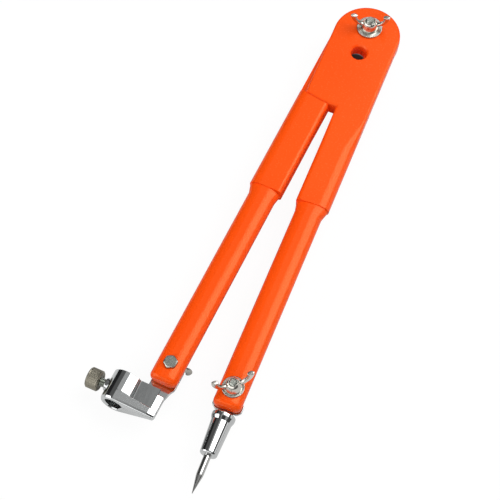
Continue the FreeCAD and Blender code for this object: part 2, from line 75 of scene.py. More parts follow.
# ---- Places ----------------------------------------------------------------------------------
JOINTS = {joint["name"]: joint for joint in frame["joints"]}
PIVOT = np.array(JOINTS["leg_opening"]["pos_m"])
NEEDLE_BOLT = np.array(JOINTS["needle_holder_swing"]["pos_m"])
PENCIL_BOLT = np.array(JOINTS["pencil_clamp_swing"]["pos_m"])


def turn_z(degrees):
    """The rotation matrix about z."""
    c, s = math.cos(math.radians(degrees)), math.sin(math.radians(degrees))
    return np.array([[c, -s, 0], [s, c, 0], [0, 0, 1]])


FLIP = np.diag([1.0, -1.0, -1.0])


def at_height(origin, node, side):
    """The point above or below origin where a node's underside (side 1) or top (side -1) is."""
    low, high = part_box(node)
    return np.array([origin[0], origin[1], low.z if side > 0 else high.z])


# ---- Surfaces --------------------------------------------------------------------------------
def soften(corners, cut, steps=6, closed=False):
    """A polyline whose corners are rounded.

    Around each corner C the path leaves one side at A and joins the next at B, both the cut
    distance from C, along p(s) = (1-s)^2 A + 2 s (1-s) C + s^2 B with s from 0 to 1.
    """
    corners = np.asarray(corners, float)
    cut = np.broadcast_to(np.asarray(cut, float).reshape(-1, 1), (len(corners), 1))

    def toward(other):
        step = other - corners
        length = np.maximum(np.linalg.norm(step, axis=1, keepdims=True), 1e-9)
        return (corners + step / length * np.minimum(cut, length / 2))[:, None]

    start, end = toward(np.roll(corners, 1, axis=0)), toward(np.roll(corners, -1, axis=0))
    s = np.linspace(0, 1, steps)[None, :, None]
    path = ((1 - s) ** 2 * start + 2 * s * (1 - s) * corners[:, None] + s ** 2 * end).reshape(-1, 2)
    if closed:
        return path
    return np.vstack([corners[:1], path[steps:-steps], corners[-1:]])


def turned(profile, count=96):
    """A profile of (radius, height) turned about z: (r cos a, r sin a, h)."""
    radius, height = np.asarray(profile, float).T[:, :, None]
    angle = np.linspace(0, TAU, count, endpoint=False)[None, :]
    return np.stack([radius * np.cos(angle), radius * np.sin(angle), height + 0 * angle], axis=-1)


def along(points, axis, origin):
    """Turned points laid along another axis: z becomes -y ("y") or -x ("x"), then moved."""
    x, y, z = np.moveaxis(points, -1, 0)
    laid = np.stack([x, -z, y] if axis == "y" else [-z, x, y], axis=-1)
    return laid + np.asarray(origin, float)


def flat_plate(corners, cut, hole, bottom, top, edge):
    """A plate about its round hole, with rounded edges.

    Each column is a ray from the hole's centre at angle a. Its points run from the hole's wall
    r = hole to the outline r = R(a), in and out through two quarter circles of radius edge.
    """
    path = soften(corners, cut, closed=True)
    angle, reach = np.arctan2(path[:, 1], path[:, 0]), np.hypot(path[:, 0], path[:, 1])
    quarter = np.linspace(0, math.pi / 2, 5)
    inset = edge * (1 - np.sin(quarter))
    rise = edge * (1 - np.cos(quarter))
    low = np.stack([reach[None] - inset[:, None], bottom + rise[:, None] + 0 * reach[None]])
    high = np.stack([reach[None] - inset[::-1, None], top - rise[::-1, None] + 0 * reach[None]])
    walls = [np.stack([hole + 0 * reach, z + 0 * reach])[:, None] for z in (top, bottom)]
    radius, z = np.concatenate([low, high] + walls, axis=1)
    return np.stack([radius * np.cos(angle), radius * np.sin(angle), z], axis=-1)


def washer_ring(size, bolt):
    """A washer on z = 0: a softened rectangle turned about z."""
    hole, edge = bolt["radius"] + HOLE_CLEAR, 0.22
    box = [(hole, 0), (size["radius"], 0), (size["radius"], size["thick"]), (hole, size["thick"])]
    return turned(soften(box, edge, closed=True), 128)


def hex_bolt(bolt, shank, turn):
    """A hex bolt with its seat on z = 0, head below and threaded shank above.

    The head's hexagon is r(a) = (flats / 2) / cos(b), b being the angle to the nearest flat's
    middle, cut by the crown's cone r = crown + slope * (z + head). The thread is
    r(a, z) = radius - depth * w, where w = |2 frac(z / pitch - a / 2 pi) - 1| sharpened to
    flat crests, and the tip's cone cuts it.
    """
    count = 96
    angle = math.radians(turn) + np.linspace(0, TAU, count, endpoint=False)
    to_flat = np.mod(angle - math.radians(turn), math.pi / 3) - math.pi / 6
    half, head, radius, pitch = bolt["flats"] / 2, bolt["head"], bolt["radius"], bolt["pitch"]
    hexagon = half / np.cos(to_flat)[None]
    hexagon = np.minimum(hexagon, half / math.cos(math.pi / 6) - 0.12)
    crown, chamfer = half - 0.3, 0.55
    slope = (half / math.cos(math.pi / 6) - crown) / chamfer

    crown_z = -head + np.concatenate([[0, 0], np.linspace(0, 1.3 * chamfer, 9)])
    cone = crown + slope * (crown_z + head)
    cone[:2] = 0, crown * 0.6
    low = np.minimum(hexagon, cone[:, None])
    wall_z = np.array([-0.5 * head, -0.12, 0.0, 0.0])
    wall = hexagon - np.array([0, 0, 0.12, half * 0.3])[:, None]

    depth, thread_from = 0.56 * pitch, 0.35 * shank
    rows = np.linspace(0.01, shank, int(14 * shank / pitch))
    wave = np.abs(2 * np.mod(rows[:, None] / pitch - (angle / TAU)[None], 1) - 1)
    wave = np.clip(1.25 * wave - 0.1, 0, 1)
    ramp = np.clip((rows - thread_from) / pitch, 0, 1)[:, None]
    thread = radius - depth * ramp * wave
    thread = np.minimum(thread, radius - 0.55 + (shank - rows)[:, None])
    end = np.array([[0.5], [0.0]]) * thread[-1:]

    radii = np.vstack([low, wall, thread, end])
    heights = np.concatenate([crown_z, wall_z, rows, [shank, shank]])[:, None]
    return np.stack([radii * np.cos(angle), radii * np.sin(angle), heights + 0 * radii], axis=-1)


def threaded_rod(radius, pitch, start, end):
    """A rod along z with a bolt's thread: r(a, z) = radius - depth * w, and w as in hex_bolt."""
    count = 72
    angle = np.linspace(0, TAU, count, endpoint=False)
    rows = np.linspace(start, end, int(12 * (end - start) / pitch))
    wave = np.abs(2 * np.mod(rows[:, None] / pitch - (angle / TAU)[None], 1) - 1)
    radii = radius - 0.5 * pitch * np.clip(1.25 * wave - 0.1, 0, 1)
    radii = np.minimum(radii, radius - 0.5 + (rows - start)[:, None])
    radii = np.vstack([radii[:1] * 0, radii, radii[-1:] * 0])
    rows = np.concatenate([[start], rows, [end]])[:, None]
    return np.stack([radii * np.cos(angle), radii * np.sin(angle), rows + 0 * radii], axis=-1)


def nut_boss(bolt):
    """A wing nut's tapered boss: a softened outline turned about z, with a chamfered bore."""
    bore = bolt["radius"] + NUT_CLEAR
    outline = [(bore, 0), (5.0, 0), (4.8, 1.4), (3.9, 4.8), (bore + 0.4, 6.0), (bore, 5.6)]
    return turned(soften(outline, [0.1, 0.5, 1.2, 1.4, 0.2, 0.1], closed=True), 112)


def nut_wing(way, tip, breadth):
    """One wing: a rounded bar carried up a steep path, narrow in the middle, with a flat round end.

    The path is the cubic Bezier curve of four points in the plane of x and z. Across it the
    section is (h cos^k a, w sin^k a), where h is breadth in the middle of the wing and k goes
    to 1 at its end. The end's edge is a quarter circle.
    """
    poles = np.array([(2.9, 2.5), (5.6, 2.2), (tip[0] + 0.4, 6.2), tip])
    poles[3] += 0.035 * (poles[3] - poles[2])
    t = np.linspace(0, 1, 36)[:, None]
    centre = ((1 - t) ** 3 * poles[0] + 3 * t * (1 - t) ** 2 * poles[1]
              + 3 * t * t * (1 - t) * poles[2] + t ** 3 * poles[3])
    direction = np.gradient(centre, axis=0)
    direction /= np.linalg.norm(direction, axis=1, keepdims=True)
    t = t[:, 0]
    swell = np.clip((t - 0.55) / 0.45, 0, 1)
    swell = swell * swell * (3 - 2 * swell)
    height = 1.75 + (breadth - 1.75) * np.sin(math.pi * t) + 0.25 * swell
    width = 1.25 - 0.1 * np.clip(t / 0.4, 0, 1) + 0.15 * swell

    edge = 0.5
    round_off = np.linspace(0, math.pi / 2, 7)[1:]
    tip_centre = centre[-1] + edge * np.sin(round_off)[:, None] * direction[-1]
    inset = edge * (1 - np.cos(round_off))
    centre = np.vstack([centre[:1], centre, tip_centre, tip_centre[-1:]])
    last = np.repeat(direction[-1:], len(round_off) + 1, axis=0)
    direction = np.vstack([direction[:1], direction, last])
    height = np.concatenate([[0], height, height[-1] - inset, [0]])
    width = np.concatenate([[0], width, width[-1] - inset, [0]])
    swell = np.concatenate([[0], swell, inset * 0 + 1, [1]])

    angle = np.linspace(0, TAU, 48, endpoint=False)[None]
    power = 0.7 + 0.3 * swell[:, None]
    across = height[:, None] * np.sign(np.cos(angle)) * np.abs(np.cos(angle)) ** power
    beside = width[:, None] * np.sign(np.sin(angle)) * np.abs(np.sin(angle)) ** power
    x = centre[:, :1] - direction[:, 1:] * across
    z = centre[:, 1:] + direction[:, :1] * across
    return np.stack([way * x, beside, z], axis=-1)


# ---- Pieces ----------------------------------------------------------------------------------
def piece(name, shells, origin, turn, finish, body, nodes, sharp=35.0):
    """One mesh from closed shells, put in place and given to its body.

    Each shell is (points, closed): a grid whose columns wrap round, and whose rows do too where
    closed is true. The rest are closed by rows that shrink to a point.
    """
    corners, faces, first = [], [], 0
    for points, closed in shells:
        rows, columns = points.shape[:2]
        index = first + np.arange(rows * columns).reshape(rows, columns)
        after = np.roll(index, -1, axis=0) if closed else index[1:]
        here = index if closed else index[:-1]
        quads = np.stack([here, np.roll(here, -1, axis=1), np.roll(after, -1, axis=1), after],
                         axis=-1)
        corners.append(points.reshape(-1, 3))
        faces.append(quads.reshape(-1, 4))
        first += rows * columns
    corners = np.vstack(corners) * MM @ np.asarray(turn).T + np.asarray(origin)
    mesh = bpy.data.meshes.new(name)
    mesh.from_pydata(corners.tolist(), [], np.vstack(faces).tolist())
    work = bmesh.new()
    work.from_mesh(mesh)
    bmesh.ops.remove_doubles(work, verts=work.verts, dist=2e-7)
    bmesh.ops.dissolve_degenerate(work, edges=work.edges, dist=1e-7)
    bmesh.ops.recalc_face_normals(work, faces=work.faces)
    work.to_mesh(mesh)
    work.free()
    mesh.polygons.foreach_set("use_smooth", np.ones(len(mesh.polygons), bool))
    mesh.set_sharp_from_angle(angle=math.radians(sharp))
    mesh.materials.append(finish)
    made = bpy.data.objects.new(name, mesh)
    bpy.context.scene.collection.objects.link(made)
    flat = made.modifiers.new("large faces stay flat", "WEIGHTED_NORMAL")
    flat.keep_sharp = True
    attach(made, body)
    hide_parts(*nodes)
    return made


# ---- Materials -------------------------------------------------------------------------------
def linear(code):
    """An sRGB hex colour as linear RGBA."""
    part = np.array([int(code[i:i + 2], 16) for i in (1, 3, 5)]) / 255
    part = np.where(part <= 0.04045, part / 12.92, ((part + 0.055) / 1.055) ** 2.4)
    return (*part.tolist(), 1.0)


def add(tree, kind, inputs=(), **settings):
    """One node with its settings; inputs maps a socket's name or number to a value or a link."""
    made = tree.nodes.new(kind)
    for key, value in settings.items():
        setattr(made, key, value)
    for key, value in dict(inputs).items():
        if isinstance(value, bpy.types.NodeSocket):
            tree.links.new(value, made.inputs[key])
        else:
            made.inputs[key].default_value = value
    return made


def blank(name):
    """A material with an empty node tree and its output."""
    made = bpy.data.materials.new(name)
    made.use_nodes = True
    made.node_tree.nodes.clear()
    return made, made.node_tree, made.node_tree.nodes.new("ShaderNodeOutputMaterial")


def moulded_abs():
    """Injection-moulded ABS, polished mould: an even orange-red with a wet gloss.

    The eye gets broad soft highlights with a slight ripple, and a slow drift of tone.
    """
    made, tree, out = blank("moulded_abs_orange")
    where = add(tree, "ShaderNodeTexCoord").outputs["Object"]
    drift = add(tree, "ShaderNodeTexNoise", {"Vector": where, "Scale": 18.0, "Detail": 2.0})
    tone = add(tree, "ShaderNodeMix", {"Factor": drift.outputs["Fac"], "A": linear("#FD4C08"),
                                       "B": linear("#FF5610")}, data_type="RGBA")
    ripple = add(tree, "ShaderNodeTexNoise", {"Vector": where, "Scale": 180.0, "Detail": 1.0})
    scuff = add(tree, "ShaderNodeTexNoise", {"Vector": where, "Scale": 900.0, "Detail": 3.0})
    gloss = add(tree, "ShaderNodeMapRange", {
        "Value": scuff.outputs["Fac"], "From Min": 0.3, "From Max": 0.7,
        "To Min": 0.22, "To Max": 0.29})
    bump = add(tree, "ShaderNodeBump", {"Height": ripple.outputs["Fac"], "Strength": 0.12,
                                        "Distance": 0.0001})
    shader = add(tree, "ShaderNodeBsdfPrincipled", {
        "Base Color": tone.outputs["Result"], "Roughness": gloss.outputs["Result"],
        "Normal": bump.outputs["Normal"], "IOR": 1.54, "Specular IOR Level": 0.4,
        "Specular Tint": (1.0, 0.75, 0.33, 1.0)})
    tree.links.new(shader.outputs[0], out.inputs["Surface"])
    return made


def plated(name, light, dark, rough, ripple_mm, ripple, grain_mm):
    """Plated metal: two close tones, a faint ripple left by casting or rolling, fine wear.

    rough is the roughness between and on the wear; ripple_mm and grain_mm are pattern sizes.
    """
    made, tree, out = blank(name)
    where = add(tree, "ShaderNodeTexCoord").outputs["Object"]
    cloud = add(tree, "ShaderNodeTexNoise", {
        "Vector": where, "Scale": 1 / (6 * ripple_mm * MM), "Detail": 3.0})
    tone = add(tree, "ShaderNodeMix", {
        "Factor": cloud.outputs["Fac"], "A": linear(dark), "B": linear(light)}, data_type="RGBA")
    grain = add(tree, "ShaderNodeTexNoise", {
        "Vector": where, "Scale": 1 / (grain_mm * MM), "Detail": 4.0})
    gloss = add(tree, "ShaderNodeMapRange", {
        "Value": grain.outputs["Fac"], "From Min": 0.35, "From Max": 0.7,
        "To Min": rough[0], "To Max": rough[1]})
    wave = add(tree, "ShaderNodeTexNoise", {
        "Vector": where, "Scale": 1 / (ripple_mm * MM), "Detail": 1.0})
    bump = add(tree, "ShaderNodeBump", {
        "Height": wave.outputs["Fac"], "Strength": ripple, "Distance": 0.0001})
    shader = add(tree, "ShaderNodeBsdfPrincipled", {
        "Base Color": tone.outputs["Result"], "Metallic": 1.0, "Roughness": gloss.outputs["Result"],
        "Normal": bump.outputs["Normal"]})
    tree.links.new(shader.outputs[0], out.inputs["Surface"])
    return made


ABS = moulded_abs()

# Barrel-plated zinc on cold-headed steel: greyish, with soft unclear reflections. Its fine
# crystals are drawn coarser than they are, here and on the other metals, so that they show.
BOLT_ZINC = plated("zinc_plated_bolt", "#B9BDB4", "#9A9F98", (0.22, 0.34), 1.5, 0.15, 0.25)
# The same zinc on stamped sheet: paler, and slightly wavy from the rolling.
WASHER_ZINC = plated("zinc_plated_washer", "#D2D3CC", "#B4B5AC", (0.20, 0.32), 2.0, 0.12, 0.2)
# Bright nickel over an unpolished forging: warm, with lively broken highlights.
NUT_NICKEL = plated("nickel_plated_forging", "#E0DDD5", "#C6C2B8", (0.17, 0.27), 1.6, 0.3, 0.3)
# Bright chrome on a polished zinc casting: a clear mirror whose flats are a little wavy.
CAST_CHROME = plated("chromed_die_casting", "#D6D8D8", "#C8CBCB", (0.09, 0.15), 3.0, 0.10, 0.4)
# Bright chrome on turned steel, buffed: the clearest mirror, with long straight highlights.
TURNED_CHROME = plated("chromed_turned_steel", "#D2D3D3", "#C2C4C4", (0.05, 0.09), 3.0, 0.05, 0.3)
# Satin nickel on a rolled knurl: darker and brownish, with no clear reflection.
KNURL_NICKEL = plated("satin_nickel_knurl", "#A09B8C", "#7F7B6F", (0.34, 0.46), 1.0, 0.2, 0.2)
# Hardened steel, ground and polished bare: grey and nearly a mirror.
GROUND_STEEL = plated("ground_steel", "#C6C6C4", "#AFAFAD", (0.10, 0.18), 1.2, 0.08, 0.15)

for name in ("front_leg", "back_leg"):
    node = frame["nodes"][name]
    if not node.material_slots:
        node.data.materials.append(ABS)
    for material_slot in node.material_slots:
        material_slot.material = ABS

# ---- Fasteners -------------------------------------------------------------------------------
PIVOT_WASHER = {"radius": 7.5, "thick": 1.2}
FOOT_WASHER = {"radius": 6.1, "thick": 1.0}


def shank_length(node, bolt):
    """How far a bolt's node reaches beyond its head, in mm."""
    low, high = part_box(node)
    return (high.z - low.z) / MM - bolt["head"]


for name, size, bolt, origin, side, leg_turn, body in [
    ("pivot_front_washer", PIVOT_WASHER, PIVOT_BOLT, PIVOT, 1, LEG_TURN, "pivot_washer"),
    ("pivot_back_washer", PIVOT_WASHER, PIVOT_BOLT, PIVOT, 1, LEG_TURN, "front_leg"),
    ("needle_washer", FOOT_WASHER, FOOT_BOLT, NEEDLE_BOLT, 1, LEG_TURN, "needle_washer"),
    ("pencil_washer", FOOT_WASHER, FOOT_BOLT, PENCIL_BOLT, 1, -LEG_TURN, "pencil_washer"),
]:
    piece(name + "_plated", [(washer_ring(size, bolt), True)], at_height(origin, name, side),
          turn_z(leg_turn), WASHER_ZINC, body, [name])

for name, bolt, origin, side, leg_turn in [
    ("pivot", PIVOT_BOLT, PIVOT, 1, LEG_TURN),
    ("needle", FOOT_BOLT, NEEDLE_BOLT, 1, LEG_TURN),
    ("pencil", FOOT_BOLT, PENCIL_BOLT, -1, -LEG_TURN),
]:
    node = name + "_wing_nut"
    turn = turn_z(leg_turn + NUT_TURNS[name]) @ (np.eye(3) if side > 0 else FLIP)
    wings = [(nut_wing(way, WING_TIPS[name], WING_BREADTH[name]), False) for way in (1, -1)]
    shells = [(nut_boss(bolt), True)] + wings
    piece(node + "_forged", shells, at_height(origin, node, side), turn, NUT_NICKEL, node,
          [node])

for name, bolt, origin, side, leg_turn, body, head_turn in [
    ("pivot_bolt", PIVOT_BOLT, PIVOT, 1, LEG_TURN, "front_leg", 0.0),
    ("needle_bolt", FOOT_BOLT, NEEDLE_BOLT, 1, LEG_TURN, "front_leg", 0.0),
    ("pencil_bolt", FOOT_BOLT, PENCIL_BOLT, -1, -LEG_TURN, "back_leg", -PENCIL_HEAD_TURN),
]:
    seat = at_height(origin, name, side)
    seat[2] += side * bolt["head"] * MM
    turn = turn_z(leg_turn) @ (np.eye(3) if side > 0 else FLIP)
    surface = hex_bolt(bolt, shank_length(name, bolt), head_turn)
    piece(name + "_threaded", [(surface, False)], seat, turn, BOLT_ZINC, body, [name],
          sharp=28.0)

# ---- Needle holder and needle, about the needle bolt ------------------------------------------
HOLDER_AXIS = (-0.4, 0.0, -6.4)     # the socket's axis from the bolt, at the lap plane's height
socket_profile = soften(
    [(0, 12.2), (6.6, 12.2), (6.6, 14.8), (5.75, 17.0), (4.8, 36.8), (0, 36.8)],
    [0, 0.9, 0.7, 0.15, 1.4, 0])
socket = along(turned(socket_profile, 128), "y", HOLDER_AXIS)
holder_outline = [(-6.4, 0.0), (-6.4, -2.3), (-8.5, -4.8), (-8.5, -8.7), (-6.5, -10.7), (6.5, -10.7),
                  (8.5, -8.7), (8.5, -4.8), (6.4, -2.3), (6.4, 0.0)]
round_end = np.linspace(0, math.pi, 25)[1:-1]
holder_outline += np.stack([6.4 * np.cos(round_end), 6.4 * np.sin(round_end)], axis=-1).tolist()
holder_outline = np.array(holder_outline) + (HOLDER_AXIS[0], 0)
plate = flat_plate(holder_outline, [0.1] + [0.6] * 8 + [0.1] + [0.1] * len(round_end),
                   FOOT_BOLT["radius"] + HOLE_CLEAR, TONGUE_TOP - TONGUE_THICK, TONGUE_TOP, 0.4)
web_profile = soften([(0, 9.6), (4.6, 9.6), (4.6, 13.0), (0, 13.0)], 0.2)
web = along(turned(web_profile, 48), "y", (0, 0, 0)) * (1.08, 1, 0.18)
web += (HOLDER_AXIS[0], 0, TONGUE_TOP - TONGUE_THICK / 2)
piece("needle_holder_turned", [(plate, True), (web, False), (socket, False)], NEEDLE_BOLT,
      turn_z(LEG_TURN + HOLDER_TURN), TURNED_CHROME, "needle_holder",
      ["needle_holder"])

needle_profile = soften([(0, 36.0), (2.0, 36.0), (2.0, 48.5), (0.12, 59.4), (0, 59.5)],
                        [0, 0.1, 0.8, 0.05, 0])
piece("needle_ground", [(along(turned(needle_profile, 64), "y", HOLDER_AXIS), False)], NEEDLE_BOLT,
      turn_z(LEG_TURN + HOLDER_TURN), GROUND_STEEL, "needle_holder", ["needle"])

# ---- Pencil clamp, about the pencil bolt ------------------------------------------------------
BARREL = (-19.9, -8.5)       # bore axis, x and z
BARREL_R, PENCIL_R = 8.0, 5.2
CLAMP_FROM, CLAMP_TO = 12.5, 30.5
EDGE_X, EDGE_LOW, EDGE_TOP = 24.2, 1.9, 6.1       # the web's right edge, from the bore axis
RIM_X = 20.3                 # the rim's inner side
STEP_X = 8.1                 # the pocket's left end at its floor
STEP_TOP = (7.1, 5.3)        # the top of the step there
FACE_END = 2.5               # where the slope down to the step leaves the front face
WALL_FROM = 24.0             # the pocket's end wall at its left end,
WALL_SLANT, WALL_ACROSS = 1.4, 17.0     # and how much further it is this far to the right
FLOOR = TONGUE_TOP - BARREL[1]
FLOOR_FALL = 2.0             # the pocket's floor is this much lower at its end wall
# The edge at the lower end, as (distance before the end, how far the section is drawn in).
END_CHAMFER = [(1.5, 0.0), (1.4, 0.01), (1.3, 0.04), (0.5, 0.4), (0.35, 0.48), (0.2, 0.6),
               (0.08, 0.76), (0.0, 0.95)]


def on_face(x):
    """The height of the sloping front face at x, both from the bore axis."""
    return BARREL_R - 1.5 * x / EDGE_X


def clamp_body():
    """The barrel and its web about the bore: rows of closed sections along y.

    A section is the barrel's arc and the web's softened corners, as (x, z) from the bore's axis.
    The pocketed section changes to the full one at the pocket's end wall. The rows are drawn in
    by a quarter circle at the upper end and by a chamfer at the lower, and then go to the bore.
    """
    touch = math.atan2(EDGE_LOW, EDGE_X) - math.acos(BARREL_R / math.hypot(EDGE_X, EDGE_LOW))
    arc_angle = np.linspace(math.radians(92), TAU + touch, 60)
    arc = BARREL_R * np.stack([np.cos(arc_angle), np.sin(arc_angle)], axis=-1)

    def section(right_top, rim_top, floor_left, step_top, face_edge):
        web = [(EDGE_X, EDGE_LOW), (EDGE_X, right_top), (RIM_X - 0.1, rim_top), floor_left, step_top,
               face_edge]
        corners = np.vstack([arc, web])
        cut = np.concatenate([np.zeros(len(arc)), [0.5, 0.5, 0.4, 0.6, 0.35, 0.5]])
        return soften(corners, cut, 5, closed=True)

    def pocket(floor):
        return section(FLOOR, floor, (STEP_X, floor), STEP_TOP, (FACE_END, on_face(FACE_END)))

    pocketed, deep = pocket(FLOOR), pocket(FLOOR - FLOOR_FALL)
    full = section(EDGE_TOP, on_face(RIM_X), (STEP_X, on_face(STEP_X)),
                   (STEP_TOP[0], on_face(STEP_TOP[0])), (FACE_END, on_face(FACE_END)))
    wall = WALL_FROM + WALL_SLANT * np.clip((pocketed[:, 0] - FACE_END) / WALL_ACROSS, 0, 1.3)

    edge = 0.5
    quarter = np.linspace(0, math.pi / 2, 5)
    rows = []

    def add_row(outline, y, inset=0.0, radius=None):
        reach = np.hypot(outline[:, 0], outline[:, 1])
        if radius is None:
            way = np.roll(outline, -1, axis=0) - np.roll(outline, 1, axis=0)
            inward = np.stack([-way[:, 1], way[:, 0]], axis=-1)
            inward = np.where(reach[:, None] < BARREL_R + 0.01, -outline, inward)
            outline = outline + inset * inward / np.hypot(inward[:, 0], inward[:, 1])[:, None]
        else:
            outline = outline * (radius / reach)[:, None]
        rows.append(np.stack([outline[:, 0], -y + 0 * reach, outline[:, 1]], axis=-1))

    add_row(pocketed, CLAMP_FROM, radius=PENCIL_R)
    for a in quarter:
        add_row(pocketed, CLAMP_FROM + edge * (1 - math.cos(a)), inset=edge * (1 - math.sin(a)))
    add_row(deep, wall - 0.1)
    for a in np.linspace(0, math.pi / 2, 6):
        add_row(full + (deep - full) * 0.3 * (1 - math.sin(a)), wall + 0.6 * (1 - math.cos(a)))
    for before_end, inset in END_CHAMFER:
        add_row(full, CLAMP_TO - before_end, inset=inset)
    add_row(full, CLAMP_TO, radius=PENCIL_R + 0.6)
    add_row(full, CLAMP_TO - 0.6, radius=PENCIL_R)
    return np.stack(rows) + (BARREL[0], 0, BARREL[1])


def rounded_bar(corners, y0, y1, edge):
    """A bar along y with a softened section (x, z) and drawn-in ends, closed to a point."""
    outline = soften(corners, edge, 6, closed=True)
    middle = outline.mean(axis=0)
    small = middle + (outline - middle) * (1 - 2 * edge / np.ptp(outline, axis=0))
    rows = []
    for section, y in [(small * 0 + middle, y0), (small, y0), (outline, y0 - edge),
                       (outline, y1 + edge), (small, y1), (small * 0 + middle, y1)]:
        rows.append(np.stack([section[:, 0], y + 0 * section[:, 0], section[:, 1]], axis=-1))
    return np.stack(rows)


rim_corners = [(RIM_X, 1.2), (EDGE_X, 2.1), (EDGE_X, EDGE_TOP - 0.02),
               (RIM_X, on_face(RIM_X) - 0.02)]
rim = rounded_bar(np.array(rim_corners) + BARREL, -17.0, -27.0, 0.45)
tongue_outline = [(-7.2, 0.0), (-7.2, -13.2), (0.2, -13.2), (0.5, -18.4), (4.3, -18.4),
                  (5.8, -12.5), (7.2, -10.5), (7.2, 0.0)]
tongue_outline += np.stack([7.2 * np.cos(round_end), 7.2 * np.sin(round_end)], axis=-1).tolist()
tongue_cuts = [0.1, 0.4, 0.1, 0.1, 0.4, 1.5, 1.5, 0.1] + [0.1] * len(round_end)
tongue = flat_plate(tongue_outline, tongue_cuts, FOOT_BOLT["radius"] + HOLE_CLEAR,
                    TONGUE_TOP - TONGUE_THICK, TONGUE_TOP + 0.03, 0.35)
boss_profile = soften([(SCREW_HOLE, 5.5), (3.7, 5.5), (3.7, 9.2), (SCREW_HOLE, 9.2)],
                      [0.1, 0.1, 0.5, 0.3], closed=True)
boss = along(turned(boss_profile, 72), "x", (BARREL[0], SCREW_Y, BARREL[1]))
piece("pencil_clamp_cast", [(clamp_body(), True), (rim, False), (tongue, True), (boss, True)],
      PENCIL_BOLT, turn_z(-LEG_TURN), CAST_CHROME, "pencil_clamp", ["pencil_clamp"])


# ---- Thumb screw, along -x from the pencil bolt's frame ----------------------------------------
def knurled_head():
    """A knob turned about its axis: straight-sided, chamfered, with a diamond knurl.

    On the sides the radius is R - depth * max(|2 frac(u) - 1|, |2 frac(v) - 1|), where u and v
    count the two sets of helical grooves, teeth a / 2 pi plus and minus h / lead.
    """
    teeth, lead, depth = 40, 1.3, 0.16
    outer, inner, length = 5.9, SCREW_HOLE, 7.4
    angle = np.linspace(0, TAU, teeth * 8, endpoint=False)[None]
    rows = np.linspace(0.8, length - 0.8, 52)[:, None]
    u, v = teeth * angle / TAU + rows / lead, teeth * angle / TAU - rows / lead
    groove = np.maximum(np.abs(2 * np.mod(u, 1) - 1), np.abs(2 * np.mod(v, 1) - 1))
    fade = np.clip(np.minimum(rows - 0.8, length - 0.8 - rows) / 0.4, 0, 1)
    side = outer - depth * groove * fade
    profile = [(inner, 5.8), (inner, 0.3), (inner + 0.3, 0.0), (outer - 0.9, 0.0),
               (outer - 0.7, 0.05)]
    end = [(outer - 0.7, length - 0.05), (outer - 0.9, length), (1.6, length), (1.2, length - 0.3),
           (0.0, length - 0.3)]
    first = np.array(profile)[:, :, None] + 0 * angle[None]
    last = np.array(end)[:, :, None] + 0 * angle[None]
    radii = np.vstack([0 * angle, first[:, 0], side, last[:, 0]])
    height = np.vstack([5.8 + 0 * angle, first[:, 1], rows + 0 * angle, last[:, 1]])
    return np.stack([radii * np.cos(angle), radii * np.sin(angle), height], axis=-1)


SCREW_AT = (-32.0, SCREW_Y, BARREL[1])      # the head's inner face
piece("thumb_screw_head_knurled", [(along(knurled_head(), "x", SCREW_AT), False)], PENCIL_BOLT,
      turn_z(-LEG_TURN), KNURL_NICKEL, "thumb_screw_head", ["thumb_screw_head"],
      sharp=50.0)
piece("thumb_screw_shank_threaded",
      [(along(threaded_rod(SCREW_R, SCREW_PITCH, -6.7, 5.5), "x", SCREW_AT), False)], PENCIL_BOLT,
      turn_z(-LEG_TURN), BOLT_ZINC, "thumb_screw_shank", ["thumb_screw_shank"])


# ---- Where the camera stands -------------------------------------------------------------------
CAMERA_TURN, CAMERA_RISE = math.radians(23.32), math.radians(62.0)
CAMERA_DISTANCE, LENS = 0.941, 122.4
LOOKED_AT = (-71.08, -149.42, 5.0)      # from the pivot: to the right, away and up
right = np.array([math.cos(CAMERA_TURN), math.sin(CAMERA_TURN), 0])
level = np.array([-math.sin(CAMERA_TURN), math.cos(CAMERA_TURN), 0])
upward = np.array([0, 0, 1])
target = PIVOT + (LOOKED_AT[0] * right + LOOKED_AT[1] * level + LOOKED_AT[2] * upward) * MM
back = -math.cos(CAMERA_RISE) * level + math.sin(CAMERA_RISE) * upward
top = math.sin(CAMERA_RISE) * level + math.cos(CAMERA_RISE) * upward

# ---- Studio ----------------------------------------------------------------------------------
TENT_R = 1.6
TENT_HORIZON = (0.85, 0.98)      # the heights between which the tent gets pale
TENT_LEFT = (-0.42, -0.34)       # and the places along x
TENT_LIGHT = (0.08, 0.46)        # its glow near the floor and overhead
LEFT_SHARE = 0.25                # the part of it that is left on the left
EYE_CONE = (0.93, 0.97)          # cosines of the angles to the camera between which it darkens
EYE_SHARE = 0.12
FLOOR_WHITE, FLOOR_MIRRORED = 0.93, 0.75
FLOOR_SHADE = 0.08           # what the lamps add to it, which the object's shadow takes away
CONTACT_SHADE_REACH = 35.0               # how near things darken the floor's reflection as painted contact shade, mm
SHADOW_SPOT = (-4.0, -9.5)          # painted shadow: the floor that shows through the hanging hole, from the pivot, near black to the eye
SHADOW_SPOT_R = (6.0, 10.0)
SHADE_STRIP = (15.0, 20.0)       # the painted shade strip in the floor's reflection between the legs, from the middle line
SHADE_STRIP_END = (-235.0, -215.0)     # where the painted shade strip ends, from the pivot
CONTACT_SHADE_OPEN = (0.40, 0.66)          # how open the floor is where its reflection begins and is full; below that the reflection is painted contact shade
